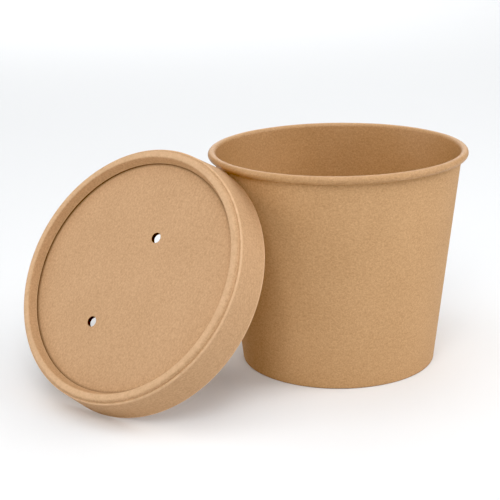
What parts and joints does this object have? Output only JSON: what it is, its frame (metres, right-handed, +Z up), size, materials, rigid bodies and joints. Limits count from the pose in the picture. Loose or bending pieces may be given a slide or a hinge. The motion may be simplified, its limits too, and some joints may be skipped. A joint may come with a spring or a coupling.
{
  "type": "takeaway soup container with lid",
  "caption": "Open tapered kraft paperboard soup cup with a rolled rim, and its vented recessed lid standing on edge beside it and leaning on the rim.",
  "frame": {"origin": "on the floor, under the middle of the box round the cup and its lid together", "axes": "+Z up along the cup's axis, +X from the lid towards the cup, and the lid faces the -X -Y side"},
  "size_m": [0.1656, 0.1308, 0.0875],
  "materials": {
    "kraft_cup": "uncoated brown kraft paperboard, matt",
    "kraft_lid": "uncoated brown kraft paperboard, matt, a little paler"
  },
  "bodies": {
    "root": {"cup_wall": "kraft_cup", "cup_base": "kraft_cup", "lid_band": "kraft_lid", "lid_disc": "kraft_lid"}
  },
  "joints": []
}
